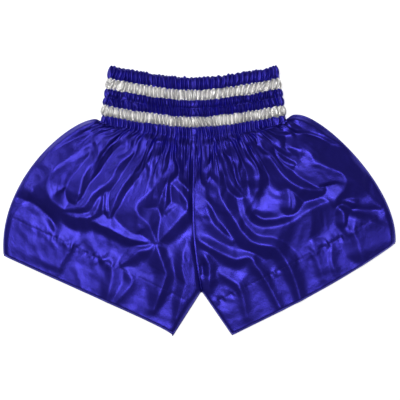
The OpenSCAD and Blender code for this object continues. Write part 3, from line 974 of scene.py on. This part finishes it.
BACK_STEPS = 201  # rows and columns of a back panel
LOWEST_BACK = 0.5 * MM
BACK_TOP = 2.3 * MM  # the back's crests stay below the front layer


def back_height(side, u, v):
    """The back lies flat on the floor, but for its wrinkles, gathers and puckers."""
    x, y = np.moveaxis(plan(side, u, v), -1, 0) + 1
    width = panel_width(side, v)
    on_leg = smooth(CROTCH_V - 0.05, CROTCH_V, v)
    edges = bump((1 - u) * width, 0, 8 * MM) + on_leg * bump(u * width, 0, 8 * MM)
    warp = soft_noise(x / (50 * MM), y / (50 * MM), 52)
    z = wrinkles(BACK_CREASES, x, y, warp) + wrinkles(BACK_CRINKLES, x, y, warp)
    z += 0.3 * gathers(u, v) + 0.6 * puckers(side, u, v)
    z = np.maximum(BACK_TOP + z, LOWEST_BACK)
    return z + MM * np.clip(edges, 0, 1)


def back_grid_of(side):
    """A back panel's surface."""
    u, v = unit_grid(BACK_STEPS, BACK_STEPS)
    return np.concatenate([plan(side, u, v), back_height(side, u, v)[..., None]], -1)


def make_back(side, grid):
    """A back panel, right side down."""
    name = SIDE_NAME[side]
    back = panel_mesh(f"{name}_back_panel_cloth", side, grid, upward=False)
    thicken(back, CLOTH, offset=0)
    dress(back, SATIN, "blue_satin", f"{name}_back_panel_hip", f"{name}_back_panel_leg")
    leg_blend(back, side)


# ---- materials


def set_inputs(node, inputs):
    """Gives each named input its value, or links it if it is the output of another node."""
    for name, given in inputs.items():
        if isinstance(given, bpy.types.NodeSocket):
            node.id_data.links.new(given, node.inputs[name])
        else:
            node.inputs[name].default_value = given


def add_node(tree, kind, output, inputs, **settings):
    """A new node with its settings and inputs; returns the output with the given name."""
    node = tree.nodes.new(kind)
    for name, value in settings.items():
        setattr(node, name, value)
    set_inputs(node, inputs)
    return node.outputs[output]


def noise_node(tree, where, cell, detail):
    """Noise over the cloth, with cells of the given size."""
    inputs = {"Scale": 1 / cell, "Detail": detail, "Vector": where}
    return add_node(tree, "ShaderNodeTexNoise", "Fac", inputs)


def ranged(tree, value, low, high):
    """A noise spread from low to high; most of it lies between 0.3 and 0.7 to begin with."""
    inputs = {"From Min": 0.3, "From Max": 0.7, "To Min": low, "To Max": high, "Value": value}
    return add_node(tree, "ShaderNodeMapRange", "Result", inputs)


def bump_node(tree, height, distance, before=None):
    """Relief from a height of 0 to 1 that is distance deep, on top of the relief before it."""
    inputs = {"Strength": 1, "Distance": distance, "Height": height}
    if before:
        inputs["Normal"] = before
    return add_node(tree, "ShaderNodeBump", "Normal", inputs)


WAVE_PERIOD = 2 * math.pi / 20  # length of one wave of the Wave Texture at a scale of 1
PATCH = 30 * MM  # size of the patches that differ a little in colour and gloss
CRINKLE_CELL = 7 * MM
THREAD_RELIEF = 0.03 * MM
COAT_ROUGHNESS = 0.3


def weave_lines(tree, where, pitch, direction):
    """Even lines across the cloth, one pitch apart."""
    inputs = {"Scale": WAVE_PERIOD / pitch, "Distortion": 0.6, "Detail Scale": 2, "Vector": where}
    return add_node(tree, "ShaderNodeTexWave", "Fac", inputs, bands_direction=direction)


def cloth_material(name, base, rough, metallic, pitch=0.45 * MM, direction="DIAGONAL", crinkle=0.3 * MM,
                   coat=0.07, sheen=0.0):
    """Woven cloth: a line of thread every pitch, a slight crinkle, and patches that wear differently."""
    material = bpy.data.materials.new(name)
    material.use_nodes = True
    tree = material.node_tree
    where = add_node(tree, "ShaderNodeUVMap", "UV", {}, uv_map="cloth")
    patches = noise_node(tree, where, PATCH, 3)
    dull, bright = (*[0.88 * c for c in base], 1), (*[min(1, 1.12 * c) for c in base], 1)
    tint = {"A": dull, "B": bright, "Factor": ranged(tree, patches, 0, 1)}
    threads = bump_node(tree, weave_lines(tree, where, pitch, direction), THREAD_RELIEF)
    set_inputs(tree.nodes["Principled BSDF"], {
        "Metallic": metallic,
        "Coat Weight": coat,
        "Coat Roughness": COAT_ROUGHNESS,
        "Sheen Weight": sheen,
        "Base Color": add_node(tree, "ShaderNodeMix", "Result", tint, data_type="RGBA"),
        "Roughness": ranged(tree, patches, rough + 0.04, rough - 0.04),
        "Normal": bump_node(tree, noise_node(tree, where, CRINKLE_CELL, 2), crinkle, threads),
    })
    return material


SATIN = cloth_material("royal blue satin", (0.027, 0.020, 0.34), 0.38, 0.85)
SATIN_INSIDE = cloth_material("wrong side of the blue satin", (0.02, 0.016, 0.18), 0.55, 0,
                              coat=0, sheen=0.2)
SILVER = cloth_material("silver satin ribbon", (0.84, 0.83, 0.82), 0.38, 0.85, direction="Y")
ELASTIC = cloth_material("white elastic tape", (0.8, 0.8, 0.78), 0.8, 0,
                         pitch=1.2 * MM, direction="Y", coat=0)
THREAD = cloth_material("blue thread", (0.04, 0.035, 0.3), 0.5, 0,
                        pitch=0.3 * MM, crinkle=0.1 * MM, coat=0)


# ---- stage


def make_stage():
    """A plain pale floor."""
    bpy.ops.mesh.primitive_plane_add(size=12, location=(0, 0, 0))
    floor = bpy.context.object
    floor.name = "floor"
    pale = bpy.data.materials.new("pale floor")
    pale.use_nodes = True
    set_inputs(pale.node_tree.nodes["Principled BSDF"], {
        "Base Color": (0.93, 0.93, 0.93, 1),
        "Roughness": 0.9,
        "Specular IOR Level": 0.1,
        "Emission Color": (1, 1, 1, 1),
        "Emission Strength": 0.55,
    })
    floor.data.materials.append(pale)


def area_light(name, place, size, power):
    """A square soft light that points at the garment's middle."""
    light = bpy.data.lights.new(name, "AREA")
    light.energy = power
    light.size = size
    lamp = bpy.data.objects.new(name, light)
    lamp.location = place
    lamp.rotation_euler = (-Vector(place)).to_track_quat("-Z", "Y").to_euler()
    bpy.context.scene.collection.objects.link(lamp)


def make_lights():
    """Soft daylight from all round, and two soft lights that give the satin its sheen."""
    world = bpy.data.worlds.new("studio")
    world.use_nodes = True
    set_inputs(world.node_tree.nodes["Background"], {"Color": (1, 1, 1, 1), "Strength": 0.16})
    bpy.context.scene.world = world
    area_light("overhead", (-0.15, 0.35, 2.4), size=0.9, power=27)
    area_light("side", (-1.4, 0.9, 1.1), size=0.5, power=5)


def make_camera():
    """Straight above the laid garment."""
    seen_width = 700 * MM  # at the height of the cloth
    cloth_height = 10 * MM
    lens, sensor = 100, 36
    camera_data = bpy.data.cameras.new("camera")
    camera_data.lens = lens
    camera_data.sensor_width = sensor
    camera = bpy.data.objects.new("camera", camera_data)
    camera.location = (1 * MM, 3.2 * MM, seen_width * lens / sensor + cloth_height)
    bpy.context.scene.collection.objects.link(camera)
    bpy.context.scene.camera = camera


make_waistband()
FRONTS = front_grids()
BACKS = {side: back_grid_of(side) for side in (RIGHT, LEFT)}
for leg in (RIGHT, LEFT):
    make_front(leg, FRONTS[leg])
    make_back(leg, BACKS[leg])
    make_hem_facing(leg, "front", FRONTS[leg], FRONT_FACING_RISE)
    make_hem_facing(leg, "back", BACKS[leg], BACK_FACING_RISE)
    make_hem_stitching(leg, FRONTS[leg], BACKS[leg])
    make_side_seam(leg, FRONTS[leg], BACKS[leg])
    make_inseam(leg, FRONTS[leg], BACKS[leg])
make_centre_seams(FRONTS, BACKS)
make_gusset(FRONTS, BACKS)
make_stage()
make_lights()
make_camera()
bpy.context.scene.view_settings.view_transform = "Standard"
